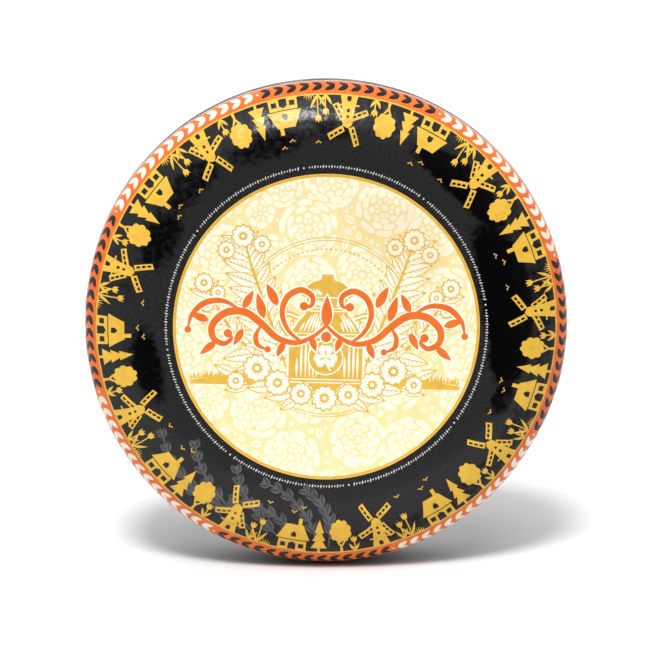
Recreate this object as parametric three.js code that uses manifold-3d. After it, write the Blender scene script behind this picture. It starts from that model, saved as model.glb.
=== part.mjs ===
// A whole wheel of aged goat gouda, standing on its rim and leaning back a little.
// Millimetres, +Z up. The wheel's axis runs along Y but for the lean, and its labelled
// face looks towards -Y.
// The black coat is the skin of the cheese, so cheese and coat are one solid.
// The round label is a thin shell that wraps over the front shoulder, in a shallow seat.

import * as THREE from 'three';
import { mergeVertices } from 'three/addons/utils/BufferGeometryUtils.js';
import Module from 'manifold-3d';

const wasm = await Module();
wasm.setup();

// Driving dimensions of the wheel
const wheelDiameter = 260;
const wheelThickness = 85;
const upperShoulderRadius = 46;
const lowerShoulderRadius = 15;
const faceEdgeSlope = 2; // degrees, where the nearly flat face meets the shoulder
const shoulderBreakSlope = 50; // degrees, where the shoulder's bend grows tighter
const shoulderEndSlope = 83; // degrees, where the shoulder meets the fuller belly
const leanBack = 4; // degrees
const flatSpotDepth = 0.8; // how far the wheel has settled onto its rim

// Driving dimensions of the label
const labelEndSlope = 79; // degrees, how far round the shoulder the label reaches
const labelThickness = 0.8;
const labelProud = 0.3; // the label's outer surface above the coat
const labelGap = 0.3; // clearance between the label and its seat, below and round its edge

// A pressed wheel's rim wanders a little from a true circle. Each entry is the number
// of waves round the rim, their height in millimetres, and the angle where they start.
const rimWaves = [
  [1, 0.1, 1.57],
  [2, 0.2, 3.3],
  [3, 0.12, 5.24],
  [5, 0.12, 0.9],
];

// Facets
const turnSteps = 84;
const faceSteps = 3;
const upperShoulderSteps = 7;
const lowerShoulderSteps = 5;
const bellySteps = 4;

const radians = THREE.MathUtils.degToRad;

// How far an arc of the section reaches outwards and back, between two slopes of its normal
const outwards = (from, to, radius) => radius * (Math.sin(to) - Math.sin(from));
const backwards = (from, to, radius) => radius * (Math.cos(from) - Math.cos(to));

// The section is four tangent arcs, from the middle of the face to the widest point: face,
// upper shoulder, lower shoulder and belly. The radii of the face and of the belly follow
// from the wheel's diameter and thickness. Each arc is its first and last slope, and its radius.
function solveSection() {
  const slope = radians(faceEdgeSlope);
  const end = radians(shoulderEndSlope);
  const upper = [slope, radians(shoulderBreakSlope), upperShoulderRadius];
  const lower = [radians(shoulderBreakSlope), end, lowerShoulderRadius];
  const axialLeft = wheelThickness / 2 - backwards(...upper) - backwards(...lower);
  const radialLeft = wheelDiameter / 2 - outwards(...upper) - outwards(...lower);
  const faceDrop = Math.tan(slope / 2);
  const bellyReach = 1 - Math.sin(end);
  const bellyRadius = (axialLeft - faceDrop * radialLeft) / (Math.cos(end) - faceDrop * bellyReach);
  const faceRadius = (radialLeft - bellyRadius * bellyReach) / Math.sin(slope);
  return [[0, slope, faceRadius], upper, lower, [end, Math.PI / 2, bellyRadius]];
}

const sectionArcs = solveSection();

// The point of the section where its outward normal leans by an angle from the axis,
// moved along that normal by an offset: x is the radius, y the distance from mid-thickness
function sectionPoint(angle, offset) {
  let radius = 0;
  let depth = 0;
  for (const [from, to, arcRadius] of sectionArcs) {
    const reached = Math.min(Math.max(angle, from), to);
    radius += outwards(from, reached, arcRadius);
    depth += backwards(from, reached, arcRadius);
  }
  const height = wheelThickness / 2 - depth;
  return new THREE.Vector2(
    radius + offset * Math.sin(angle),
    height + offset * Math.cos(angle),
  );
}

// Evenly spaced values from one angle to another, both ends included
function spread(from, to, steps) {
  return Array.from({ length: steps + 1 }, (_, i) => from + ((to - from) * i) / steps);
}

// The stretch of the section from the middle of the face out to an end angle
function sectionRun(endAngle, offset) {
  const slope = radians(faceEdgeSlope);
  const shoulderBreak = radians(shoulderBreakSlope);
  const angles = [
    ...spread(0, slope, faceSteps),
    ...spread(slope, shoulderBreak, upperShoulderSteps).slice(1),
    ...spread(shoulderBreak, endAngle, lowerShoulderSteps).slice(1),
  ];
  return angles.map((angle) => sectionPoint(angle, offset));
}

// The same points on the labelled side of the wheel
function inFront(points) {
  return points.map((point) => new THREE.Vector2(point.x, -point.y));
}

// A profile turned about the wheel's axis, with the rim's slight waves, and leaning back
function turned(profile) {
  const geometry = new THREE.LatheGeometry(profile, turnSteps);
  const position = geometry.attributes.position;
  const fullRadius = wheelDiameter / 2;
  for (let i = 0; i < position.count; i += 1) {
    const x = position.getX(i);
    const z = position.getZ(i);
    const turn = Math.atan2(z, x);
    const share = Math.hypot(x, z) / fullRadius;
    const wave = rimWaves.reduce(
      (sum, [count, height, start]) => sum + height * Math.cos(count * turn + start),
      0,
    );
    const stretch = 1 + (wave * share) / fullRadius;
    position.setX(i, x * stretch);
    position.setZ(i, z * stretch);
  }
  return geometry.rotateX(-radians(leanBack));
}

// A closed triangle mesh as a solid for cutting
function solidFrom(geometry) {
  const bare = geometry.clone();
  bare.deleteAttribute('normal');
  bare.deleteAttribute('uv');
  const merged = mergeVertices(bare, 1e-4);
  const index = merged.index.array;
  const triangles = [];
  for (let i = 0; i < index.length; i += 3) {
    const [a, b, c] = index.slice(i, i + 3);
    if (a !== b && b !== c && c !== a) triangles.push(a, b, c);
  }
  return new wasm.Manifold(new wasm.Mesh({
    numProp: 3,
    vertProperties: new Float32Array(merged.attributes.position.array),
    triVerts: new Uint32Array(triangles),
  }));
}

// A solid back as a geometry with flat faces
function geometryFrom(solid) {
  const mesh = solid.getMesh();
  const geometry = new THREE.BufferGeometry();
  geometry.setAttribute('position', new THREE.BufferAttribute(mesh.vertProperties, 3));
  geometry.setIndex(new THREE.BufferAttribute(mesh.triVerts, 1));
  geometry.computeVertexNormals();
  return geometry;
}

// The cheese: a full rounded wheel, sunk under the label, with the flat spot it stands on
function wheelGeometry() {
  const shoulderEnd = radians(shoulderEndSlope);
  const seatDepth = labelThickness - labelProud + labelGap;
  const seatEnd = radians(labelEndSlope) + labelGap / lowerShoulderRadius;
  const belly = spread(shoulderEnd, Math.PI / 2, bellySteps).map((angle) => sectionPoint(angle, 0));
  const front = [...sectionRun(seatEnd, -seatDepth), sectionPoint(seatEnd, 0), ...belly];
  const back = [...sectionRun(shoulderEnd, 0), ...belly.slice(1, -1)];
  const round = turned([...inFront(front), ...back.reverse()]);

  round.computeBoundingBox();
  const reach = 2 * wheelDiameter;
  const ground = new THREE.BoxGeometry(reach, reach, reach);
  ground.translate(0, 0, round.boundingBox.min.z + flatSpotDepth - reach / 2);
  return geometryFrom(solidFrom(round).subtract(solidFrom(ground)));
}

// The label: a thin shell that follows the face and the shoulder
function labelGeometry() {
  const end = radians(labelEndSlope);
  const outside = sectionRun(end, labelProud);
  const inside = sectionRun(end, labelProud - labelThickness);
  return turned([...inFront(outside), ...inFront(inside).reverse()]);
}

function coatMaterial() {
  return new THREE.MeshStandardMaterial({ color: 0x1d1c1b, roughness: 0.45, metalness: 0 });
}

function labelMaterial() {
  return new THREE.MeshStandardMaterial({ color: 0x35312a, roughness: 0.5, metalness: 0 });
}

function namedMesh(name, geometry, material) {
  const mesh = new THREE.Mesh(geometry, material);
  mesh.name = name;
  return mesh;
}

const cheese = new THREE.Group();
cheese.add(namedMesh('wheel', wheelGeometry(), coatMaterial()));
cheese.add(namedMesh('label', labelGeometry(), labelMaterial()));

// The origin is on the ground under the middle of the wheel
const box = new THREE.Box3().setFromObject(cheese);
const middle = box.getCenter(new THREE.Vector3());
cheese.position.set(-middle.x, -middle.y, -box.min.z);

export default cheese;
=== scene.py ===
"""The looks of a whole goat gouda wheel: a black coat and a round printed paper label.

The print is drawn flat, in millimetres from the label's middle, as it would be before the
label is wrapped over the cheese. Distance from the middle is measured along the surface.
"""

import math
import random

import bpy
import numpy as np
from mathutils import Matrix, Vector
from mathutils.geometry import delaunay_2d_cdt


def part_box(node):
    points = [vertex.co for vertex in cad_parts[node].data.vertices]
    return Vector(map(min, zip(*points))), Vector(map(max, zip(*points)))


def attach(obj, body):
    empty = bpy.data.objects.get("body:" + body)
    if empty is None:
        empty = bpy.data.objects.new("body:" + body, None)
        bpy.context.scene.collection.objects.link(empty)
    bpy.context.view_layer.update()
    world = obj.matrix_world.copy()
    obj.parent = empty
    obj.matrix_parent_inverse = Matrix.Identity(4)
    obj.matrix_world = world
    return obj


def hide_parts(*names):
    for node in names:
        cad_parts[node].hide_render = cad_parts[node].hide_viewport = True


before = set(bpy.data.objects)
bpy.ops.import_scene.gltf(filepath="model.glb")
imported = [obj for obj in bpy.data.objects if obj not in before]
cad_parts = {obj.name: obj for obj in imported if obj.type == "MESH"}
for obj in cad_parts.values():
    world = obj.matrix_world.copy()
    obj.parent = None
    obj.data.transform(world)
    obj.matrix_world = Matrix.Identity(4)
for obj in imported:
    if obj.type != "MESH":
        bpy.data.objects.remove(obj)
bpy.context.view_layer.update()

MM = 0.001

# The wheel's section, in millimetres and degrees, as in the CAD model
WHEEL_DIAMETER = 260
WHEEL_THICKNESS = 85
UPPER_SHOULDER_RADIUS = 46
LOWER_SHOULDER_RADIUS = 15
FACE_EDGE_SLOPE = math.radians(2)
SHOULDER_BREAK_SLOPE = math.radians(50)
SHOULDER_END_SLOPE = math.radians(83)
LEAN_BACK = math.radians(4)
LABEL_END_SLOPE = math.radians(79)
LABEL_PROUD = 0.3
RIM_WAVES = ((1, 0.1, 1.57), (2, 0.2, 3.3), (3, 0.12, 5.24), (5, 0.12, 0.9))

# The rings of the print, as distances from the label's middle
MEDALLION_REACH = 79.3
GOLD_RING_REACH = 80.5
LIGHT_LINE_REACH = 80.9
BEAD_RING = 84.7
GOLD_LINE_INNER = 124.9
GOLD_LINE_OUTER = 125.8
ORANGE_REACH = 137.5

# The camera, from how the rings and the floor's shadow lie in the photograph
VIEW_ELEVATION = math.radians(6.21) + LEAN_BACK
VIEW_AZIMUTH = math.radians(-0.52)
VIEW_DISTANCE = 1500
PIXELS_PER_MM = 1.9
FACE_PIXEL = (326.4, 327.55)
IMAGE_SIZE = 650
SENSOR_WIDTH = 36


def smoothstep(low, high, value):
    share = np.clip((value - low) / (high - low), 0, 1)
    return share * share * (3 - 2 * share)


def lattice_noise(points, scale, seed, columns=256):
    """Smooth noise from -1 to 1, with features about as wide as scale. It repeats across."""
    table = np.random.default_rng(seed).uniform(-1, 1, (columns, 256))
    cell = np.floor(points / scale).astype(int)
    part = points / scale - cell
    part = part * part * (3 - 2 * part)
    column, row = cell[:, 0] % columns, cell[:, 1] % 256
    next_column, next_row = (column + 1) % columns, (row + 1) % 256
    across, up = part.T
    low = table[column, row] * (1 - across) + table[next_column, row] * across
    high = table[column, next_row] * (1 - across) + table[next_column, next_row] * across
    return low * (1 - up) + high * up


def ring_noise(turn, along, columns, scale, seed):
    """Smooth noise with a number of columns round a ring, and a scale across the ring."""
    points = np.column_stack([turn / (2 * math.pi) * columns, along / scale])
    return lattice_noise(points, 1, seed, columns)


# The wheel's form

def outwards(start, end, radius):
    """How far an arc of the section reaches from the axis, between two slopes of its normal."""
    return radius * (np.sin(end) - np.sin(start))


def backwards(start, end, radius):
    """How far an arc of the section falls back from the face, between two slopes."""
    return radius * (np.cos(start) - np.cos(end))


def solve_section():
    """The section's four tangent arcs, each with its first and last slope and its radius."""
    slope, end = FACE_EDGE_SLOPE, SHOULDER_END_SLOPE
    upper = (slope, SHOULDER_BREAK_SLOPE, UPPER_SHOULDER_RADIUS)
    lower = (SHOULDER_BREAK_SLOPE, end, LOWER_SHOULDER_RADIUS)
    axial_left = WHEEL_THICKNESS / 2 - backwards(*upper) - backwards(*lower)
    radial_left = WHEEL_DIAMETER / 2 - outwards(*upper) - outwards(*lower)
    face_drop = math.tan(slope / 2)
    belly_reach = 1 - math.sin(end)
    belly_radius = (axial_left - face_drop * radial_left) / (math.cos(end) - face_drop * belly_reach)
    face_radius = (radial_left - belly_radius * belly_reach) / math.sin(slope)
    return (0, slope, face_radius), upper, lower, (end, math.pi / 2, belly_radius)


SECTION_ARCS = solve_section()


def reach_of(slope):
    """The distance along the section from the middle of the face to a slope."""
    return sum(radius * (min(max(slope, start), end) - start) for start, end, radius in SECTION_ARCS)


FACE_END = reach_of(FACE_EDGE_SLOPE)
BELLY_END = reach_of(math.pi / 2)
LABEL_REACH = reach_of(LABEL_END_SLOPE)


def slope_at(reach):
    """The lean of the section's normal from the wheel's axis, at a distance along the section."""
    ends = [0] + [end for start, end, radius in SECTION_ARCS]
    return np.interp(reach, [reach_of(end) for end in ends], ends)


def section_point(slope, offset):
    """Radius and height above mid-thickness, where the section's normal has that slope."""
    radius = offset * np.sin(slope)
    height = WHEEL_THICKNESS / 2 + offset * np.cos(slope)
    for start, end, arc_radius in SECTION_ARCS:
        reached = np.clip(slope, start, end)
        radius = radius + outwards(start, reached, arc_radius)
        height = height - backwards(start, reached, arc_radius)
    return radius, height


def on_wheel(radius, height, turn):
    """Points of the leaning wheel about its own middle, from the section and a turn about the axis."""
    wave = sum(size * np.cos(count * turn + start) for count, size, start in RIM_WAVES)
    full_radius = WHEEL_DIAMETER / 2
    stretched = radius * (1 + wave * radius / full_radius / full_radius)
    x = stretched * np.cos(turn)
    z = stretched * np.sin(turn)
    lean_cos, lean_sin = math.cos(LEAN_BACK), math.sin(LEAN_BACK)
    return np.column_stack([x, z * lean_sin - height * lean_cos, z * lean_cos + height * lean_sin])


def find_seat():
    """How far the wheel's own middle is from the frame's origin, from the box of its solid."""
    turns = np.linspace(0, 2 * math.pi, 721)
    slopes = np.linspace(0, math.pi / 2, 361)
    slope, turn = (grid.ravel() for grid in np.meshgrid(slopes, turns))
    radius, height = section_point(slope, 0)
    back = on_wheel(radius, -height, turn)
    low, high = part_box("wheel")
    middle = (back[:, 0].max() + back[:, 0].min()) / 2
    return np.array([
        (low.x + high.x) / 2 / MM - middle,
        high.y / MM - back[:, 1].max(),
        high.z / MM - back[:, 2].max(),
    ])


SEAT = find_seat()


def placed(points):
    """Points about the wheel's middle, in millimetres, as points of the frame, in metres."""
    return (points + SEAT) * MM


# The camera, the floor and the light

def face_centre():
    return Vector(label_points(np.zeros((1, 2)), LABEL_PROUD)[0])


def add_object(name, data):
    thing = bpy.data.objects.new(name, data)
    bpy.context.scene.collection.objects.link(thing)
    return thing


def set_inputs(node, values):
    """Sets some of a node's inputs, each to a value or to another node's output."""
    for name, value in values.items():
        if isinstance(value, bpy.types.NodeSocket):
            node.id_data.links.new(value, node.inputs[name])
        else:
            node.inputs[name].default_value = value


def towards(elevation, azimuth):
    """The way to a place, by its angle above the floor and its angle from the front to the right."""
    flat = math.cos(elevation)
    return Vector((math.sin(azimuth) * flat, -math.cos(azimuth) * flat, math.sin(elevation)))


def turn_back_to(thing, way):
    """Turns a camera or light so that it looks from that way."""
    thing.rotation_euler = way.to_track_quat("Z", "Y").to_euler()


def make_camera():
    """A camera whose picture has the face's middle on the photograph's own pixel."""
    data = bpy.data.cameras.new("camera")
    data.sensor_width = SENSOR_WIDTH
    data.lens = PIXELS_PER_MM * VIEW_DISTANCE / IMAGE_SIZE * SENSOR_WIDTH
    data.clip_end = 50
    camera = add_object("camera", data)
    back = towards(VIEW_ELEVATION, VIEW_AZIMUTH)
    turn_back_to(camera, back)
    turn = camera.rotation_euler.to_matrix()
    right, up = turn.col[0], turn.col[1]
    off_right, off_down = ((pixel - IMAGE_SIZE / 2) / PIXELS_PER_MM * MM for pixel in FACE_PIXEL)
    target = face_centre() - right * off_right + up * off_down
    camera.location = target + back * VIEW_DISTANCE * MM
    bpy.context.scene.camera = camera


def new_material(name):
    """A material, its node tree and its shader."""
    material = bpy.data.materials.new(name)
    material.use_nodes = True
    return material, material.node_tree, material.node_tree.nodes["Principled BSDF"]


# The floor's corners in metres, from a little in front of the wheel to far behind it
FLOOR_CORNERS = ((-2, -0.3, 0), (2, -0.3, 0), (2, 1.6, 0), (-2, 1.6, 0))
FLOOR_WHITE = (0.77, 0.77, 0.77, 1)


def make_floor():
    mesh = bpy.data.meshes.new("floor")
    mesh.from_pydata(FLOOR_CORNERS, [], [(0, 1, 2, 3)])
    floor = add_object("floor", mesh)
    material, _, shader = new_material("floor_white")
    set_inputs(shader, {"Base Color": FLOOR_WHITE, "Roughness": 0.6, "Specular IOR Level": 0.2})
    mesh.materials.append(material)


def soft_sun(name, elevation, azimuth, spread, strength):
    """Even light from a wide patch of sky. Angles in degrees, azimuth from the front to the right."""
    data = bpy.data.lights.new(name, "SUN")
    data.angle = math.radians(spread)
    data.energy = strength
    light = add_object(name, data)
    turn_back_to(light, towards(math.radians(elevation), math.radians(azimuth)))


def make_lights():
    soft_sun("key", elevation=58, azimuth=-13, spread=15, strength=2.7)
    soft_sun("overhead", elevation=62, azimuth=-8, spread=50, strength=1.3)


def make_world():
    """A white room that is dimmer on the side the camera stands."""
    world = bpy.data.worlds.new("studio")
    world.use_nodes = True
    tree = world.node_tree
    direction = tree.nodes.new("ShaderNodeTexCoord")
    split = tree.nodes.new("ShaderNodeSeparateXYZ")
    set_inputs(split, {0: direction.outputs["Generated"]})
    light = mapped(tree, split.outputs["Y"], -0.9, 1, 0.05, 1, "LINEAR")
    room = tree.nodes["Background"]
    set_inputs(room, {"Color": light, "Strength": 1.15})
    seen = tree.nodes.new("ShaderNodeBackground")
    set_inputs(seen, {"Color": (1, 1, 1, 1), "Strength": 1.2})
    ray = tree.nodes.new("ShaderNodeLightPath")
    mix = tree.nodes.new("ShaderNodeMixShader")
    set_inputs(mix, {"Fac": ray.outputs["Is Camera Ray"], 1: room.outputs[0], 2: seen.outputs[0]})
    set_inputs(tree.nodes["World Output"], {"Surface": mix.outputs[0]})
    bpy.context.scene.world = world


# Outlines for the print

OUTLINE_STEP = 1.3


def polar(reach, turn):
    """Points at a reach from the middle and a turn in radians."""
    return np.stack([reach * np.cos(turn), reach * np.sin(turn)], -1)


def reach_and_turn(points):
    return np.hypot(*points.T), np.arctan2(points[:, 1], points[:, 0])


def ring_outline(radius, centre=(0, 0), step=OUTLINE_STEP, least=8):
    count = max(least, round(2 * math.pi * radius / step))
    return polar(radius, np.arange(count) * 2 * math.pi / count) + centre


def moved(outline, turn=0, shift=(0, 0), size=1):
    """An outline scaled, then turned by an angle in degrees, then shifted."""
    axes = polar(1, math.radians(turn) + np.array([0, math.pi / 2]))
    return np.asarray(outline, float) * size @ axes + shift


def mirrored(outline):
    return np.asarray(outline, float) * (-1, 1)


def symmetric(right):
    """An outline from its right half, whose last point is on the middle line."""
    return np.vstack([right, mirrored(right[:-1])[::-1]])


def curve(points, steps=6):
    """A smooth line through the points, with a number of steps from each to the next."""
    points = np.asarray(points, float)
    padded = np.vstack([2 * points[0] - points[1], points, 2 * points[-1] - points[-2]])
    found = []
    for a, b, c, d in zip(padded, padded[1:], padded[2:], padded[3:]):
        for t in np.arange(steps) / steps:
            found.append(0.5 * (
                2 * b + (c - a) * t + (2 * a - 5 * b + 4 * c - d) * t ** 2
                + (3 * b - a - 3 * c + d) * t ** 3
            ))
    found.append(points[-1])
    return np.array(found)


def stroke(path, width, swell=0, extra=0):
    """The outline of a line along a path. Its width swells in the middle and tapers to its ends."""
    path = np.asarray(path, float)
    along = np.gradient(path, axis=0)
    side = np.column_stack([-along[:, 1], along[:, 0]])
    side /= np.linalg.norm(side, axis=1)[:, None]
    share = np.linspace(0, 1, len(path))
    half = (width + swell * np.sin(math.pi * share) ** 1.3 + extra) / 2
    offset = side * half[:, None]
    return np.vstack([path + offset, (path - offset)[::-1]])


def blade(length, width, fullest=0.8, tip=1, count=9):
    """A leaf or petal from the origin along x. It is widest nearer its tip where fullest is large."""
    t = np.linspace(0, 1, count)
    half = width / 2 * np.sin(math.pi * t ** fullest) ** tip
    upper = np.column_stack([length * t, half])
    return np.vstack([upper, upper[-2:0:-1] * (1, -1)])


def half_blade(length, width, rib, side):
    """One half of a leaf, beside a bare midrib."""
    t = np.linspace(0.08, 0.92, 7)
    half = width / 2 * np.sin(math.pi * t ** 0.8)
    edge = np.column_stack([length * t, half * side])
    return np.vstack([edge, edge[::-1] * (1, 0) + (0, rib / 2 * side)])


def box_outline(left, foot, width, height):
    return [(left, foot), (left + width, foot), (left + width, foot + height), (left, foot + height)]


SHAPES = []


def paint(ink, *outlines):
    """Adds a shape to the print, over the ones before it. An outline inside another is a hole."""
    SHAPES.append((ink, [np.asarray(outline, float) for outline in outlines], None))


def paint_ring(ink, inner, outer):
    """Adds a ring about the label's middle. An inner reach of 0 makes a disc."""
    outlines = [ring_outline(outer)]
    if inner:
        outlines.append(ring_outline(inner))
    SHAPES.append((ink, outlines, (inner, outer)))


# The background of the medallion: pale overlapping flowers, cream petals between yellow lines

PETAL_GAP = 0.75


def flower_petal(half_turn, inner, outer):
    """A petal along x with a rounded outer edge, and a foot that fits between two others."""
    share = np.linspace(-1, 1, 6)
    bulge = (outer - inner) * 0.34
    reach = outer - bulge * np.abs(share) ** 2.4
    edge = polar(reach, share * (half_turn - PETAL_GAP / 2 / outer))
    turn = half_turn - PETAL_GAP / 2 / max(inner, 1.2)
    corner = inner + bulge * 0.1
    foot = [polar(corner, turn), (inner - bulge * 0.75, 0), polar(corner, -turn)]
    return np.vstack([edge, foot])


def paint_flower(centre, size, petals, rows, draw):
    """A full flower head of even rows of petals, on a yellow ground that shows between them."""
    paint("pale_yellow", ring_outline(size + 0.3, centre, 2.6))
    start = draw.uniform(0, 360)
    reaches = size * np.linspace(0.2, 1, rows + 1) ** 1.1
    for row in range(rows):
        inner, outer = reaches[row] + PETAL_GAP / 2, reaches[row + 1] - PETAL_GAP / 2
        for i in range(petals):
            turn = start + (i + row / 2) * 360 / petals + draw.uniform(-5, 5)
            petal = flower_petal(math.pi / petals * draw.uniform(0.88, 1.04), inner, outer)
            paint("cream", moved(petal, turn, centre, draw.uniform(0.96, 1.04)))
    paint("cream", ring_outline(reaches[0] * 0.62, centre, 1))


def clear_of(discs, taken, gap):
    """Whether discs stay clear of those already taken."""
    return all(
        math.hypot(x - other_x, y - other_y) > radius + other + gap
        for x, y, radius in discs for other_x, other_y, other in taken
    )


def anywhere(draw, outer):
    """A point in the disc of a radius."""
    reach = outer * math.sqrt(draw.random())
    turn = draw.uniform(0, 2 * math.pi)
    return reach * math.cos(turn), reach * math.sin(turn)


# Each size of flower: its radius, its petals, its rows, and how many are tried
FLOWER_SIZES = ((15.5, 9, 4, 500), (11.5, 8, 3, 500), (8, 7, 2, 700))
FLOWER_OVERLAP = 0.26
LEAF_LENGTHS = (14, 11, 8, 6)
LEAF_TRIES = 5200
# Where discs stand in for a leaf: the share of its length, and the share of its width
LEAF_DISCS = ((0.12, 0.18), (0.35, 0.46), (0.6, 0.46), (0.88, 0.16))
DOT_TRIES = 5000


def paint_meadow():
    """Flower heads from large to small, then leaves in pairs and dots where there is room."""
    draw = random.Random(11)
    taken = []
    flowers = []
    for size, petals, rows, tries in FLOWER_SIZES:
        for _ in range(tries):
            centre = anywhere(draw, MEDALLION_REACH - 1)
            if clear_of([(*centre, size)], taken, -FLOWER_OVERLAP * size):
                taken.append((*centre, size))
                flowers.append((centre, size, petals, rows))
    for flower in reversed(flowers):
        paint_flower(*flower, draw)
    for _ in range(LEAF_TRIES):
        base = np.array(anywhere(draw, MEDALLION_REACH))
        length = draw.choice(LEAF_LENGTHS)
        width = length * 0.46
        aim = draw.uniform(0, 360)
        way = polar(1, math.radians(aim))
        discs = [(*(base + way * length * share), width * size) for share, size in LEAF_DISCS]
        if clear_of(discs, taken, 0.35):
            taken.extend(discs)
            for side in (1, -1):
                paint("cream", moved(half_blade(length, width, 0.7, side), aim, base))
    for _ in range(DOT_TRIES):
        centre = anywhere(draw, MEDALLION_REACH)
        size = draw.uniform(0.8, 1.9)
        if clear_of([(*centre, size)], taken, 0.45):
            taken.append((*centre, size))
            paint("cream", ring_outline(size, centre, 0.9))


# The picture on the medallion, in ochre lines over the flowers

LINE = 0.45
PICTURE_TURN = -1.6


def paint_picture(ink, *outlines):
    """Adds a shape of the picture, which is printed a little askew."""
    paint(ink, *(moved(outline, PICTURE_TURN) for outline in outlines))


def paint_lined_leaf(base, aim, length, width, hatches=4):
    """A cream leaf with an ochre outline, midrib and shading strokes."""
    paint_picture("ochre", moved(blade(length + 2 * LINE, width + 2 * LINE), aim, base))
    for side in (1, -1):
        paint_picture("paper", moved(half_blade(length, width, 0.5, side), aim, base))
    for i in range(hatches):
        share = 0.22 + 0.52 * i / max(1, hatches - 1)
        reach = width / 2 * math.sin(math.pi * share ** 0.8)
        foot = length * share
        mark = [(foot - 0.4, 0), (foot + 0.4, 0), (foot + reach * 0.9, -reach * 0.85)]
        paint_picture("ochre", moved(mark, aim, base))


PETALS = 11


def paint_daisy(centre, size, start):
    outline = blade(size + LINE, size * 0.56, 1.4, 0.6)
    petal = blade(size * 0.68 - LINE, size * 0.42, 1.4, 0.6, 7) + (size * 0.3, 0)
    for ink, shape in (("ochre", outline), ("paper", petal)):
        for i in range(PETALS):
            paint_picture(ink, moved(shape, start + i * 360 / PETALS, centre))
    paint_picture("ochre", ring_outline(size * 0.3, centre, 1))
    paint_picture("paper", ring_outline(size * 0.17, centre, 0.8))


# The stems of each side: points from foot to tip, leaves on each flank, longest leaf
STEMS = (
    (((24, -27), (36, -16), (48, -5), (57, 8), (63, 20)), 6, 19),
    (((19, -27), (24, -12), (30, 4), (36, 20), (41, 34), (44, 45)), 9, 24),
)
SPRAY_FLOWERS = (
    (45, 47, 6.2), (35, 43, 4.8), (53.5, 39.5, 4.8), (65, 22, 5.2), (57.5, 17, 4), (63, 10, 3.6),
)


def on_side(aim, side):
    """A direction in degrees as it is on the right, or mirrored on the left."""
    return aim if side > 0 else 180 - aim


def paint_spray(side):
    """Two tall leafy stems on one side of the churn."""
    flip = np.array([side, 1])
    for points, leaves, longest in STEMS:
        path = curve(points, 8)
        for i in range(leaves):
            share = 0.12 + 0.82 * i / (leaves - 1)
            place = round(share * (len(path) - 2))
            way = path[place + 1] - path[place]
            along = math.degrees(math.atan2(way[1], way[0]))
            for lean, size in ((48, 0.72), (-52, 1)):
                length = longest * size * (1 - 0.42 * share)
                aim = on_side(along + lean, side)
                paint_lined_leaf(path[place] * flip, aim, length, length * 0.36, 5)
        paint_picture("ochre", stroke(path, 0.8, 0.6) * flip)
    for x, y, size in SPRAY_FLOWERS:
        paint_daisy((x * side, y), size, 8 * side)


# The churn: its half widths at heights from its foot to its knob, the heights of its hoops,
# and the bands between them that carry light strokes
CHURN_FORM = (
    (-33, 17.6), (-31.5, 19.4), (-10, 19.4), (-3, 18.4), (3, 14.5), (7, 11), (15, 10.4),
    (16.5, 13.6), (19, 14), (20.4, 12), (23.6, 8), (25, 3.4), (28, 3),
)
CHURN_HOOPS = (-29.3, -27.6, -5.2, -3.4, 8.6, 10.2, 15.8)
CHURN_BANDS = ((-26.4, -6.4), (-2.4, 7.6), (11.2, 14.8), (16.8, 20.2))
# Where the light strokes lie across the churn, and the share of its height where each ends
CHURN_LIGHTS = ((-0.78, 0.5), (-0.66, 0.9), (-0.54, 1), (-0.43, 1), (-0.33, 0.86), (-0.24, 0.6),
                (0.52, 0.55), (0.64, 0.9), (0.76, 1), (0.87, 0.8))


def churn_width(height):
    heights, widths = zip(*CHURN_FORM)
    return np.interp(height, heights, widths)


def churn_outline(inset):
    heights = np.linspace(CHURN_FORM[0][0] + inset, CHURN_FORM[-1][0] - inset, 44)
    widths = churn_width(heights) - inset
    right = np.column_stack([widths, heights])
    return np.vstack([right, mirrored(right)[::-1]])


def paint_churn():
    """A milk churn with engraved lights, hoops, handles and a clover leaf."""
    for side in (1, -1):
        handle = curve([(15, 5), (21, 6.5), (23.5, 1), (18.6, -5)]) * (side, 1)
        paint_picture("ochre", stroke(handle, 3))
        paint_picture("paper", stroke(handle, 1.1))
    paint_picture("paper", churn_outline(-1.1))
    paint_picture("ochre", churn_outline(0))
    for low, high in CHURN_BANDS:
        heights = np.linspace(low, high, max(3, round((high - low) / 1.6)))
        for across, share in CHURN_LIGHTS:
            reached = low + (heights - low) * share
            line = np.column_stack([across * churn_width(reached), reached])
            paint_picture("paper", stroke(line, 0.35, 0.9))
    for level in CHURN_HOOPS:
        wide = churn_width(level) - 0.7
        paint_picture("paper", box_outline(-wide, level - 0.3, 2 * wide, 0.6))
    paint_picture("paper", ring_outline(9.4, (0, -16)))
    paint_picture("ochre", ring_outline(8.7, (0, -16)))
    stalk = curve([(0, -16), (0.8, -20), (3, -23)], 4)
    paint_picture("paper", stroke(stalk, 0.9))
    for turn in (90, 210, 330):
        for lean in (20, -20):
            paint_picture("paper", moved(blade(6.6, 4.6, 1.5, 0.6), turn + lean, (0, -15.6)))
        paint_picture("ochre", moved(blade(4, 0.9, 1, 1, 5), turn, (0, -15.6)))


TUFTS = 64


def paint_grass():
    """Low banks of grass on both sides."""
    draw = random.Random(5)
    for side in (1, -1):
        bank = curve([(20, -27), (40, -26.4), (56, -27.4), (71, -29.6)])
        foot = bank[::-1] * (1, 0) - (0, 31.6)
        paint_picture("ochre", np.vstack([bank, foot]) * (side, 1))
        for i in range(TUFTS):
            x = 20 + i * 0.8 + draw.uniform(-0.3, 0.3)
            level = -27.2 - 0.0022 * (x - 42) ** 2
            tall = draw.uniform(1.6, 5)
            lean = draw.uniform(-1.4, 1.4)
            tuft = np.array([(x - 0.6, level), (x + 0.6, level), (x + lean, level + tall)])
            paint_picture("ochre", tuft * (side, 1))


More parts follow.
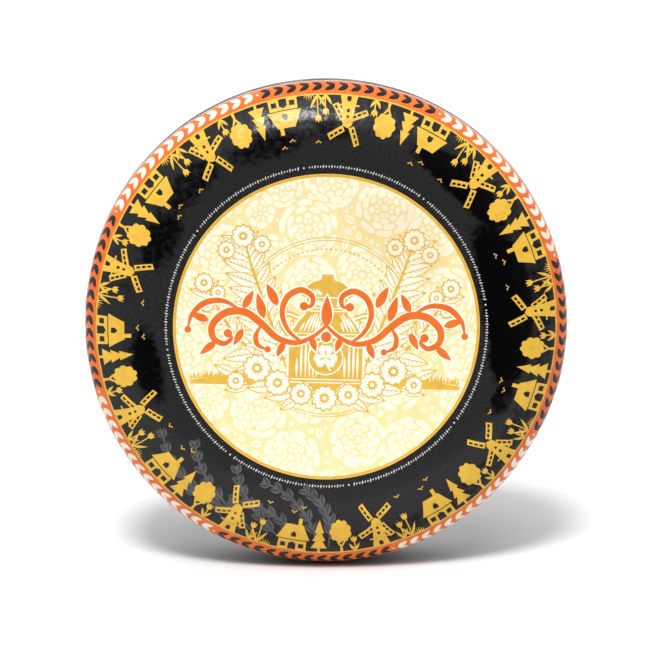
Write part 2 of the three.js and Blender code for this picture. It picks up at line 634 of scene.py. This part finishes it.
GARLAND_LEAVES = (
    (17, -35, -12, 15), (27, -32, -4, 14), (8, -36, -150, 12), (40, -31, -16, 13), (26, -25, 40, 12),
    (15, -30, -160, 10), (48, -26, 24, 11), (14, -38, -34, 11), (33, -20, 62, 9),
)
GARLAND_FLOWERS = ((36, -22.5, 7.6), (25, -30, 7), (47, -29.5, 5), (12.5, -35.5, 6))


def paint_garland():
    """Daisies and leaves along the foot of the picture."""
    for side in (1, -1):
        for x, y, aim, length in GARLAND_LEAVES:
            paint_lined_leaf((x * side, y), on_side(aim, side), length, length * 0.42)
        for x, y, size in GARLAND_FLOWERS:
            paint_daisy((x * side, y), size, x)
    paint_daisy((0, -37.5), 7, 4)


BEADS = 104


def paint_circles():
    """A fine double circle and a circle of beads behind the picture."""
    paint_ring("ochre", 47.2, 47.6)
    paint_ring("ochre", 45.8, 46.2)
    for i in range(BEADS):
        paint("ochre", ring_outline(0.55, polar(41.4, 2 * math.pi * i / BEADS), 1, 6))


# The orange flourish: strokes of the right half, each with its width and its swell
FLOURISH = (
    (((0, 1), (7, -5), (16, -8.5), (26, -6), (34, 1), (43, 7), (53, 6.5), (60, 0), (59.5, -7),
      (54, -10), (50, -7.2), (51.4, -4.2)), 1.7, 2.3),
    (((13, -8), (20, -2), (23.5, 7), (21, 15.5), (14, 19.5), (8, 16.5), (8, 11.6), (11.4, 10.4)), 1.5, 1.8),
    (((44, 7), (54, 12.5), (64, 11.5), (71, 5), (73, -2)), 1.0, 2.2),
    (((34, 1), (37, -5), (36, -10), (31, -12.6)), 1.0, 1.8),
)
FLOURISH_LEAVES = (
    (26, 11, 62, 13, 4.8), (33, 4, 74, 14, 4.8), (44, 9, 118, 11, 4.2), (62, 2, 20, 11, 4.2),
    (58, -9, -40, 11, 4), (44, -2, -62, 10, 4), (22, -8, -66, 9, 3.8), (8, -5, -110, 8.5, 3.6),
)
FLOURISH_BUDS = ((51.8, -4.4, 2.3), (12, 11, 2.3), (73, -3, 1.9), (30.6, -12.4, 1.8))


def paint_flourish():
    """Leafy scrolls on both sides of the middle, with a thin cream edge."""
    for ink, extra in (("paper", 1.5), ("script_orange", 0)):
        for side in (1, -1):
            for points, width, swell in FLOURISH:
                line = stroke(curve(points, 5), width, swell, extra)
                paint_picture(ink, line * (side, 1))
            for x, y, aim, length, width in FLOURISH_LEAVES:
                leaf = moved(blade(length + extra, width + extra, 0.75, 0.9), aim, (x, y))
                paint_picture(ink, leaf * (side, 1))
            for x, y, size in FLOURISH_BUDS:
                paint_picture(ink, ring_outline(size + extra / 2, (x * side, y)))
        paint_picture(ink, moved(blade(17 + extra, 5.8 + extra, 0.75, 0.9), 90))
        paint_picture(ink, ring_outline(2.8 + extra / 2, (0, -5)))


# The ring of fine white ornament round the medallion

def round_the_ring(outline, reach, turn):
    """A small outline set on a ring, upright with its foot towards the middle. Turn in degrees."""
    return moved(outline, turn - 90, polar(reach, math.radians(turn)))


RING_STRETCHES = 8
MARKS_IN_STRETCH = 42


def paint_bead_ring():
    for stretch in range(RING_STRETCHES):
        start = 360 / RING_STRETCHES * stretch + 8
        paint("fine_white", round_the_ring(ring_outline(0.5, step=1), BEAD_RING, start))
        for i in range(MARKS_IN_STRETCH):
            turn = start + 360 / RING_STRETCHES * (i + 2) / (MARKS_IN_STRETCH + 3)
            tall = 0.65 if i % 3 else 1.15
            mark = [(0, -tall), (0.42, 0), (0, tall), (-0.42, 0)]
            paint("fine_white", round_the_ring(moved(mark, -12), BEAD_RING, turn))


# The frieze: a village in gold, standing outwards on the gold line

FINE_STEP = OUTLINE_STEP * 1.4


def fine(outline):
    """An outline with points added on its long edges, so that it can follow the shoulder."""
    outline = np.asarray(outline, float)
    found = []
    for a, b in zip(outline, np.roll(outline, -1, 0)):
        count = max(1, math.ceil(np.linalg.norm(b - a) / FINE_STEP))
        found.extend(a + (b - a) * i / count for i in range(count))
    return np.array(found)


def windmill():
    tower = symmetric([(4.8, -0.4), (3.9, 6), (5.9, 6), (5.9, 7), (3.8, 7), (2.7, 15.6), (3.3, 16),
                       (2.6, 18.4), (0, 19.8)])
    door = [(-1.2, 0.6), (1.2, 0.6), (1.2, 3.4), (0, 4.4), (-1.2, 3.4)]
    windows = [box_outline(-0.8, 8.8, 1.6, 1.9), box_outline(-0.7, 12.6, 1.4, 1.6)]
    parts = [[tower, door, *windows]]
    hub = (0, 17.2)
    for turn in (28, 118, 208, 298):
        spar = [(0, -0.35), (13.6, -0.35), (13.6, 0.35), (0, 0.35)]
        sail = [(3, 0.3), (13.6, 0.3), (13.6, 3.3), (3, 3.3)]
        slots = [box_outline(4.2 + 3.1 * i, 1.1, 2.2, 1.3) for i in range(3)]
        parts.append([moved(spar, turn, hub)])
        parts.append([moved(part, turn, hub) for part in (sail, *slots)])
    return parts


def farmhouse():
    walls = box_outline(0, -0.4, 16, 8)
    door = [(5.8, 0.3), (10.2, 0.3), (10.2, 5), (8, 6.6), (5.8, 5)]
    windows = [box_outline(left, 2, 3, 3.4) for left in (1.4, 11.6)]
    roof = [(-1.8, 8.2), (17.8, 8.2), (13.4, 18), (2.6, 18)]
    dormer = [(6.4, 10), (9.6, 10), (9.6, 12.4), (8, 14), (6.4, 12.4)]
    return [[walls, door, *windows], [roof, dormer], [box_outline(10, 17.4, 2.4, 4.4)]]


def round_tree():
    trunk = symmetric([(0.9, -0.4), (0.6, 4), (2.6, 8), (1.8, 8.4), (0, 5.6)])
    turn = np.linspace(0, 2 * math.pi, 36, endpoint=False)
    lumps = 0.92 + 0.16 * np.abs(np.sin(turn * 4.5))
    crown = polar(lumps, turn) * (6.25, 7) + (0, 14.6)
    return [[trunk], [crown]]


def spruce():
    right = [(0.7, -0.4), (0.7, 3), (4.6, 3), (1.9, 8.6), (3.8, 8.6), (1.4, 14), (2.9, 14), (0, 22)]
    return [[symmetric(right)]]


def tulip(height):
    stem = stroke(curve([(0, -0.4), (0.3, height * 0.4), (0, height - 3)], 3), 0.7)
    cup = [(-1.9, height), (-1.7, height - 3), (0, height - 4.6), (1.7, height - 3), (1.9, height),
           (0.9, height - 1.3), (0, height + 0.3), (-0.9, height - 1.3)]
    leaves = [moved(blade(height * 0.62, 1.7, 0.8, 1, 6), aim, (0, -0.2)) for aim in (64, 116)]
    return [[stem], [cup], [leaves[0]], [leaves[1]]]


def grass_tuft():
    blades = ((-1.8, -1.2, 2.6), (-0.8, -0.4, 4), (0.1, 0.2, 4.6), (1, 0.8, 3.6), (1.8, 1.4, 2.4))
    return [[[(x - 0.45, -0.4), (x + 0.45, -0.4), (x + lean, tall)]] for x, lean, tall in blades]


def bird(height):
    wings = [(-2.4, 0.7), (-1.1, 1.1), (0, 0), (1.1, 1.1), (2.4, 0.7), (1.1, 0.4), (0, -0.7), (-1.1, 0.4)]
    return [[moved(wings, shift=(0, height))]]


# What stands along one repeat of the frieze, and how far along
VILLAGE = (
    (9, windmill()), (22, tulip(13)), (26.4, tulip(17)), (31, grass_tuft()), (38, farmhouse()),
    (27, bird(27)), (44, bird(25)), (50, bird(28)), (61.2, spruce()), (74, round_tree()),
    (81.4, tulip(11)),
)
REPEATS = 9


def paint_frieze():
    ground = GOLD_LINE_INNER + 0.2
    for repeat in range(REPEATS):
        for along, motif in VILLAGE:
            for part in motif:
                outlines = []
                for outline in part:
                    points = fine(outline)
                    turn = 2 * math.pi * repeat / REPEATS + (points[:, 0] + along) / ground
                    reach = ground - points[:, 1]
                    outlines.append(polar(reach, turn))
                paint("gold", *outlines)


# The orange band's laurel, alternately black and white, with a dot between its stretches

BAND_STRETCHES = 8
LAURELS_IN_STRETCH = 14


def paint_laurel():
    middle = (GOLD_LINE_OUTER + ORANGE_REACH) / 2 + 0.2
    for stretch in range(BAND_STRETCHES):
        ink = "print_black" if stretch % 2 else "white"
        start = 360 / BAND_STRETCHES * (stretch + 0.37)
        paint("white", round_the_ring(ring_outline(0.75, step=1), middle, start))
        for i in range(LAURELS_IN_STRETCH):
            turn = start + 360 / BAND_STRETCHES * (i + 0.75) / (LAURELS_IN_STRETCH + 0.4)
            for lean in (34, -34):
                leaf = moved(blade(6.8, 3.3, 0.85, 0.75, 8), 180 + lean, (2.8, 0))
                paint(ink, round_the_ring(leaf, middle, turn))


# The faint grey grasses on the black ground

GHOST_STALKS = (
    ((-4, -122), (-9, -104), (-20, -90), (-34, -82)),
    ((-16, -121), (-22, -106), (-36, -96), (-52, -92)),
    ((-22, -119), (-34, -104), (-44, -88), (-48, -74)),
    ((-38, -114), (-50, -100), (-66, -92), (-80, -86)),
    ((-40, -112), (-56, -92), (-66, -76), (-70, -60)),
    ((-56, -104), (-70, -88), (-82, -72), (-88, -54)),
    ((1, -121), (2, -106), (-3, -94), (-12, -86)),
)


def paint_ghost():
    for points in GHOST_STALKS:
        path = curve(points, 7)
        paint("ghost", fine(stroke(path, 0.8, 1)))
        for i in range(4, len(path) - 1, 3):
            way = path[i + 1] - path[i - 1]
            aim = math.degrees(math.atan2(way[1], way[0]))
            for lean in (26, -26):
                for side in (1, -1):
                    paint("ghost", moved(half_blade(9 - i * 0.15, 3.4, 0.5, side), aim + lean, path[i]))


def paint_border():
    """The rings round the medallion, which cover the flowers that run over its edge."""
    paint_ring("deep_gold", MEDALLION_REACH, GOLD_RING_REACH)
    paint_ring("light_gold", GOLD_RING_REACH, LIGHT_LINE_REACH)
    paint_ring("black", LIGHT_LINE_REACH, GOLD_LINE_INNER)
    paint_ring("gold", GOLD_LINE_INNER, GOLD_LINE_OUTER)
    paint_ring("orange", GOLD_LINE_OUTER, ORANGE_REACH)
    paint_ring("white", ORANGE_REACH, LABEL_REACH)
    paint_bead_ring()
    paint_ghost()
    paint_frieze()
    paint_laurel()


def paint_medallion():
    paint_ring("pale_yellow", 0, MEDALLION_REACH)
    paint_meadow()
    paint_circles()
    for side in (1, -1):
        paint_spray(side)
    paint_grass()
    paint_churn()
    paint_garland()
    paint_flourish()


def inside(points, outlines):
    """Which points an odd number of the outlines go round."""
    x, y = points[:, 0, None], points[:, 1, None]
    crossings = np.zeros(len(points), int)
    for outline in outlines:
        ax, ay = outline.T
        bx, by = np.roll(outline, -1, axis=0).T
        with np.errstate(divide="ignore", invalid="ignore"):
            meets = ax + (y - ay) / (by - ay) * (bx - ax)
        crossings += np.sum(((ay > y) != (by > y)) & (meets > x), axis=1)
    return crossings % 2 == 1


def ink_of(points, inks):
    """The index of the topmost ink at each point."""
    found = np.zeros(len(points), int)
    reach = np.hypot(*points.T)
    order = np.argsort(points[:, 0])
    across = points[order, 0]
    for ink, outlines, ring in SHAPES:
        if ring:
            hit = (reach >= ring[0]) & (reach < ring[1])
        else:
            corners = np.vstack(outlines)
            first, last = np.searchsorted(across, [corners[:, 0].min(), corners[:, 0].max()])
            near = order[first:last]
            up = points[near, 1]
            near = near[(up >= corners[:, 1].min()) & (up <= corners[:, 1].max())]
            hit = near[inside(points[near], outlines)]
        found[hit] = inks.index(ink)
    return found


# The label's relief

def label_relief(points):
    """How far the paper stands off its even surface, in millimetres."""
    reach, turn = reach_and_turn(points)
    over_shoulder = smoothstep(92, 112, reach)
    broad = 0.12 * lattice_noise(points, 38, 1) + 0.05 * lattice_noise(points, 15, 2)
    creases = np.abs(lattice_noise(points, 5.5, 3)) + 0.6 * np.abs(lattice_noise(points, 3.1, 4))
    pleats = 0.09 * ring_noise(turn, reach, 156, 22, 5) + 0.04 * ring_noise(turn, reach, 330, 9, 6)
    return broad + over_shoulder * (0.2 * creases + pleats)


def label_points(points, lift):
    """Points of the flat print as they lie on the wheel, at a lift off its surface."""
    reach, turn = reach_and_turn(points)
    radius, height = section_point(slope_at(reach), lift)
    return placed(on_wheel(radius, height, turn))


def label_top(points):
    return label_points(points, LABEL_PROUD + label_relief(points))


def label_normals(points):
    """The normals of the label's upper surface, from its rise over a small step."""
    step = 0.3
    across = label_top(points + (step, 0)) - label_top(points - (step, 0))
    up = label_top(points + (0, step)) - label_top(points - (0, step))
    normals = np.cross(across, up)
    return normals / np.linalg.norm(normals, axis=1)[:, None]


def grid_points(spacing, inner, outer):
    """A triangular grid of points in a ring about the middle."""
    row_gap = spacing * math.sqrt(3) / 2
    rows, columns = np.mgrid[:int(2 * outer / row_gap) + 1, :int(2 * outer / spacing) + 1]
    x = (columns + rows % 2 / 2) * spacing - outer
    points = np.column_stack([x.ravel(), (rows * row_gap - outer).ravel()])
    reach = np.hypot(*points.T)
    return points[(reach >= inner) & (reach < outer)]


def far_from(points, others, distance):
    """The points that have none of the others in their own square of a grid."""
    taken = set(map(tuple, np.floor(others / distance).astype(int)))
    return points[[tuple(cell) not in taken for cell in np.floor(points / distance).astype(int)]]


# The even points that fill the print between its outlines: how far apart they are on the
# face and over the shoulder, where one gives way to the other, and how far from any outline
FACE_GRID = 2.4
SHOULDER_GRID = 1.5
GRID_CHANGE = FACE_END - 10
GRID_GAP = 0.7


def triangulate():
    """The print's flat triangles: corners, faces, and the faces' middles."""
    corners, edges = [], []
    for _, outlines, _ in SHAPES:
        for outline in outlines:
            first, count = len(corners), len(outline)
            corners.extend(outline)
            edges.extend((first + i, first + (i + 1) % count) for i in range(count))
    outline_corners = np.array(corners)
    inner = grid_points(FACE_GRID, 0, GRID_CHANGE)
    outer = grid_points(SHOULDER_GRID, GRID_CHANGE, LABEL_REACH - 0.6)
    fill = far_from(np.vstack([inner, outer]), outline_corners, GRID_GAP)
    points = [Vector(point) for point in np.vstack([outline_corners, fill])]
    result = delaunay_2d_cdt(points, edges, [], 0, 1e-5, False)
    flat = np.array([tuple(point) for point in result[0]])
    faces = np.array([tuple(face) for face in result[2]])
    return flat, faces, flat[faces].mean(1)


# Rings of the paper's hidden back, as shares of its reach, and how far it is sunk
BACK_RINGS = (1, 0.93, 0.86, 0.79, 0.45)
BACK_LIFT = -0.12


def label_back_faces(first_edge, count):
    """The faces of the paper's edge and of its hidden back, from the first corner of the edge."""
    first_back = first_edge + count
    last = first_back + (len(BACK_RINGS) - 1) * count
    centre = last + count
    faces = []
    for i in range(count):
        j = (i + 1) % count
        faces.append((first_edge + i, first_back + i, first_back + j))
        faces.append((first_edge + i, first_back + j, first_edge + j))
        for a in range(first_back, last, count):
            b = a + count
            faces.append((a + i, b + i, b + j))
            faces.append((a + i, b + j, a + j))
        faces.append((last + i, centre, last + j))
    return faces


def label_mesh(inks):
    """The printed face of the paper, then its edge and its back."""
    flat, faces, middles = triangulate()
    rim = ring_outline(LABEL_REACH)
    back_flat = np.vstack([*(rim * share for share in BACK_RINGS), (0, 0)])
    edge_top = label_top(rim)
    back = label_points(back_flat, BACK_LIFT)
    vertices = np.vstack([label_top(flat), edge_top, back])
    extra = label_back_faces(len(flat), len(rim))
    mesh = bpy.data.meshes.new("label_print")
    mesh.from_pydata(vertices.tolist(), [], np.vstack([faces, extra]).tolist())
    names = list(inks)
    for material in inks.values():
        mesh.materials.append(material)
    plain = np.full(len(extra), names.index("white"))
    mesh.polygons.foreach_set("material_index", np.concatenate([ink_of(middles, names), plain]))
    mesh.polygons.foreach_set("use_smooth", np.ones(len(faces) + len(extra), bool))
    store_print_data(mesh, np.vstack([flat, rim, back_flat]))

    normals = label_normals(flat)
    outward = edge_top - label_points(rim * 0.98, 0)
    outward /= np.linalg.norm(outward, axis=1)[:, None]
    behind = np.tile(-normals.mean(0), (len(back), 1))
    mesh.normals_split_custom_set_from_vertices(np.vstack([normals, outward, behind]).tolist())
    return mesh


def store_print_data(mesh, flat):
    """Stores each corner's place on the flat print, and the blots' depth there: damp paper, which on the
    black ground is also painted shade.
    """
    place = mesh.attributes.new("flat", "FLOAT_VECTOR", "POINT")
    place.data.foreach_set("vector", np.column_stack([flat, np.zeros(len(flat))]).ravel())
    # The blots' depth: damp stains on the pale inks, and painted shade on the black ground
    damp_and_shade = mesh.attributes.new("damp_and_shade", "FLOAT", "POINT")
    damp_and_shade.data.foreach_set("value", damp_and_shade_field(flat))


def make_label(inks):
    label = add_object("label_print", label_mesh(inks))
    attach(label, "root")
    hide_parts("label")


# Blots where the paper has taken up moisture: beige stains on the pale inks, and on the black
# ground a deep black that is partly painted shade, for the smooth varnish mirroring the dim side
# of the room. The turn in degrees and the distance of each blot's middle, its half length along
# the ring in degrees, its half width, and how deep it is
BLOTS = (
    (10, 97, 24, 14, 1),
    (46, 105, 18, 9, 1),
    (88, 104, 9, 8, 0.45),
    (108, 101, 15, 10, 0.5),
    (134, 104, 15, 11, 0.5),
    (152, 99, 12, 12, 0.55),
    (167, 107, 8, 8, 0.3),
    (192, 97, 14, 9, 0.65),
    (352, 98, 10, 11, 1),
    (338, 101, 7, 7, 0.6),
    (330, 117, 100, 9, 0.45),
    (50, 62, 34, 18, 0.8),
    (10, 40, 40, 14, 0.5),
    (284, 58, 14, 9, 0.5),
)


def damp_and_shade_field(points):
    """How deep the blots are, from 0 to 1, fading over their edges."""
    reach, turn = reach_and_turn(points)
    field = np.zeros(len(points))
    for blot_turn, blot_reach, half_turn, half_width, depth in BLOTS:
        away = (np.degrees(turn) - blot_turn + 180) % 360 - 180
        distance = np.hypot(away / half_turn, (reach - blot_reach) / half_width)
        field = np.maximum(field, depth * smoothstep(1.5, 0.4, distance))
    return field


# Materials

def noise(tree, vector, scale, detail=4, roughness=0.55):
    """A noise texture's value over a vector output."""
    texture = tree.nodes.new("ShaderNodeTexNoise")
    set_inputs(texture, {"Vector": vector, "Scale": scale, "Detail": detail, "Roughness": roughness})
    return texture.outputs["Fac"]


def mapped(tree, value, low, high, to_low, to_high, way="SMOOTHSTEP"):
    """A value taken from one range to another, with smooth ends unless told otherwise."""
    node = tree.nodes.new("ShaderNodeMapRange")
    node.interpolation_type = way
    set_inputs(node, {
        "Value": value, "From Min": low, "From Max": high, "To Min": to_low, "To Max": to_high,
    })
    return node.outputs["Result"]


def mixed(tree, share, first, second):
    """A colour that goes from the first to the second with a share."""
    node = tree.nodes.new("ShaderNodeMix")
    node.data_type = "RGBA"
    set_inputs(node, {"Factor": share, "A": (*first, 1), "B": (*second, 1)})
    return node.outputs["Result"]


# How much light the face gives back for a base colour of 1
FACE_LIGHT = 1.05


def shown(*colour):
    """The base colour that shows as an 8-bit sRGB colour on the lit face."""
    shares = [value / 255 for value in colour]
    lights = [s / 12.92 if s <= 0.04045 else ((s + 0.055) / 1.055) ** 2.4 for s in shares]
    return [light / FACE_LIGHT for light in lights]


def print_surface(tree, shader, flat, smooth, rough):
    """A thin uneven varnish with fine crumples, over the print."""
    gloss = mapped(tree, noise(tree, flat, 0.5), 0.3, 0.7, smooth, rough)
    set_inputs(shader, {"Roughness": gloss, "Specular IOR Level": 0.14})
    add_bump(tree, shader, noise(tree, flat, 0.75, 3), 0.8, 0.12)


def add_bump(tree, shader, height, strength, depth):
    """Fine relief from a value, with its depth in millimetres."""
    bump = tree.nodes.new("ShaderNodeBump")
    set_inputs(bump, {"Strength": strength, "Distance": depth * MM, "Height": height})
    set_inputs(shader, {"Normal": bump.outputs["Normal"]})


# What damp takes from the paper's colour, and the black ground where it is dry and in the blots, whose deep
# black is damp paper and painted shade together
STAIN = (0.93, 0.86, 0.8)
MATT_BLACK = (0.0235, 0.023, 0.0235)
DAMP_BLACK_PAINTED_SHADE = (0.0018, 0.0016, 0.0019)


def stored(tree, name):
    """A shader's own value for what each corner of the label stores."""
    attribute = tree.nodes.new("ShaderNodeAttribute")
    attribute.attribute_name = name
    return attribute


def ragged_share(tree, flat, scale, weight):
    """The blots' depth with a ragged edge, from noise of a scale and a weight."""
    node = tree.nodes.new("ShaderNodeMath")
    node.operation = "MULTIPLY_ADD"
    ragged = noise(tree, flat, scale, 8, 0.65)
    set_inputs(node, {0: ragged, 1: weight, 2: stored(tree, "damp_and_shade").outputs["Fac"]})
    return node.outputs[0]


def stained_colour(tree, ink, flat):
    """An ink's colour, turned beige where the paper is damp."""
    share = mapped(tree, ragged_share(tree, flat, 0.12, 0.5), 0.5, 1.1, 0, 0.75)
    node = tree.nodes.new("ShaderNodeMix")
    node.data_type = "RGBA"
    node.blend_type = "MULTIPLY"
    set_inputs(node, {"Factor": 1, "A": ink, "B": mixed(tree, share, (1, 1, 1), STAIN)})
    return node.outputs["Result"]


def ink_material(name, colour, shade):
    """An ink with slight mottling, and with stains where it is one of the pale ones."""
    material, tree, shader = new_material("ink_" + name)
    flat = stored(tree, "flat").outputs["Vector"]
    mottle = mapped(tree, noise(tree, flat, 0.16), 0.35, 0.7, 0, 1)
    ink = mixed(tree, mottle, shown(*colour), shown(*shade))
    if name in STAINED_INKS:
        ink = stained_colour(tree, ink, flat)
    set_inputs(shader, {"Base Color": ink})
    print_surface(tree, shader, flat, smooth=0.16, rough=0.28)
    return material


def black_material():
    """The black ground: matt grey-black with fine specks, and deep black in the blots, where the paper is
    damp and the black is also painted shade for the smooth varnish mirroring the dim side of the room.
    """
    material, tree, shader = new_material("ink_black")
    flat = stored(tree, "flat").outputs["Vector"]
    share = mapped(tree, ragged_share(tree, flat, 0.3, 1), 0.7, 1.1, 0, 1)
    specks = mapped(tree, noise(tree, flat, 0.9, 3), 0.5, 0.68, 0, 0.55)
    both = tree.nodes.new("ShaderNodeMath")
    both.operation = "MAXIMUM"
    set_inputs(both, {0: share, 1: specks})
    # Painted shade: the blots' deep black stands in for the varnish mirroring the dim side of the room,
    # over the damp paper
    set_inputs(shader, {"Base Color": mixed(tree, both.outputs[0], MATT_BLACK, DAMP_BLACK_PAINTED_SHADE)})
    print_surface(tree, shader, flat, smooth=0.12, rough=0.22)
    return material


# Each ink's colour and its darker mottle, as they show on the lit face in 8-bit sRGB
INKS = {
    "white": ((246, 238, 226), (236, 222, 204)),
    "gold": ((235, 190, 73), (227, 178, 65)),
    "deep_gold": ((232, 180, 71), (226, 170, 62)),
    "light_gold": ((243, 198, 90), (238, 188, 80)),
    "orange": ((231, 118, 51), (220, 104, 44)),
    "pale_yellow": ((251, 233, 176), (249, 227, 162)),
    "cream": ((255, 252, 226), (252, 245, 214)),
    "ochre": ((234, 189, 82), (226, 177, 70)),
    "ghost": ((94, 94, 97), (78, 78, 81)),
    "paper": ((255, 254, 236), (254, 250, 228)),
    "script_orange": ((239, 122, 51), (233, 112, 45)),
    "fine_white": ((226, 224, 222), (206, 204, 202)),
    "print_black": ((48, 40, 38), (38, 32, 30)),
}
STAINED_INKS = ("pale_yellow", "cream", "paper")


def make_inks():
    inks = {name: ink_material(name, *colours) for name, colours in INKS.items()}
    inks["black"] = black_material()
    return inks


COAT_BLACK = (0.011, 0.0108, 0.011)
WORN_BLACK = (0.023, 0.022, 0.022)


def coat_material():
    """Black plastic that is a little worn and uneven in its gloss."""
    material, tree, shader = new_material("coat_black")
    place = tree.nodes.new("ShaderNodeTexCoord").outputs["Object"]
    worn = mapped(tree, noise(tree, place, 38, 6), 0.45, 0.75, 0, 1)
    colour = mixed(tree, worn, COAT_BLACK, WORN_BLACK)
    gloss = mapped(tree, noise(tree, place, 90, 5), 0.3, 0.7, 0.3, 0.48)
    set_inputs(shader, {"Base Color": colour, "Roughness": gloss, "Specular IOR Level": 0.32})
    add_bump(tree, shader, noise(tree, place, 700, 4), 0.4, 0.1)
    return material


# The coat

COAT_TURNS = 480
COAT_RINGS = 170
COAT_SUNK = -0.4 # under the label
EVEN_MIDDLE = 75 # how far from the middle of the back the coat's lumps reach their full height


def coat_relief(along, turn):
    """Slight lumps and dents of the coat, in millimetres, over the section and the turn."""
    return 0.12 * ring_noise(turn, along, 32, 26, 11) + 0.05 * ring_noise(turn, along, 90, 9, 12)


def coat_ring(along, lift, turns):
    """Points at some turns, at a distance along the section from the middle of the front."""
    behind = along > BELLY_END
    reach = 2 * BELLY_END - along if behind else along
    radius, height = section_point(slope_at(np.full(len(turns), reach)), lift)
    return on_wheel(radius, -height if behind else height, turns)


def coat_points():
    """Rings from the middle of the front to that of the back, and at the end the two middles."""
    turns = np.arange(COAT_TURNS) * 2 * math.pi / COAT_TURNS
    hidden = np.linspace(0, LABEL_REACH - 1, 9)[1:]
    rings = [coat_ring(along, COAT_SUNK, turns) for along in hidden]
    for along in np.linspace(LABEL_REACH - 0.6, 2 * BELLY_END, COAT_RINGS)[:-1]:
        fade = smoothstep(0, EVEN_MIDDLE, min(along, 2 * BELLY_END - along))
        relief = coat_relief(np.full(COAT_TURNS, along), turns) * fade
        rings.append(coat_ring(along, relief, turns))
    middle = np.zeros(1)
    rings.append(coat_ring(0, COAT_SUNK, middle))
    rings.append(coat_ring(2 * BELLY_END, 0, middle))
    points = placed(np.vstack(rings))
    points[:, 2] = np.maximum(points[:, 2], 0)
    return points


def coat_faces(front_middle):
    """Faces between the rings and the two middles, from the number of the front's middle."""
    back_middle = front_middle + 1
    last = front_middle - COAT_TURNS
    faces = []
    for i in range(COAT_TURNS):
        j = (i + 1) % COAT_TURNS
        faces.append((front_middle, i, j))
        for a in range(0, last, COAT_TURNS):
            b = a + COAT_TURNS
            faces.append((a + i, b + i, b + j, a + j))
        faces.append((last + i, back_middle, last + j))
    return faces


def make_coat():
    points = coat_points()
    faces = coat_faces(len(points) - 2)
    mesh = bpy.data.meshes.new("coat")
    mesh.from_pydata(points.tolist(), [], faces)
    mesh.polygons.foreach_set("use_smooth", np.ones(len(faces), bool))
    mesh.materials.append(coat_material())
    coat = add_object("coat", mesh)
    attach(coat, "root")
    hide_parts("wheel")


make_camera()
make_world()
make_floor()
make_lights()
paint_medallion()
paint_border()
make_label(make_inks())
make_coat()
bpy.context.scene.view_settings.view_transform = "Standard"
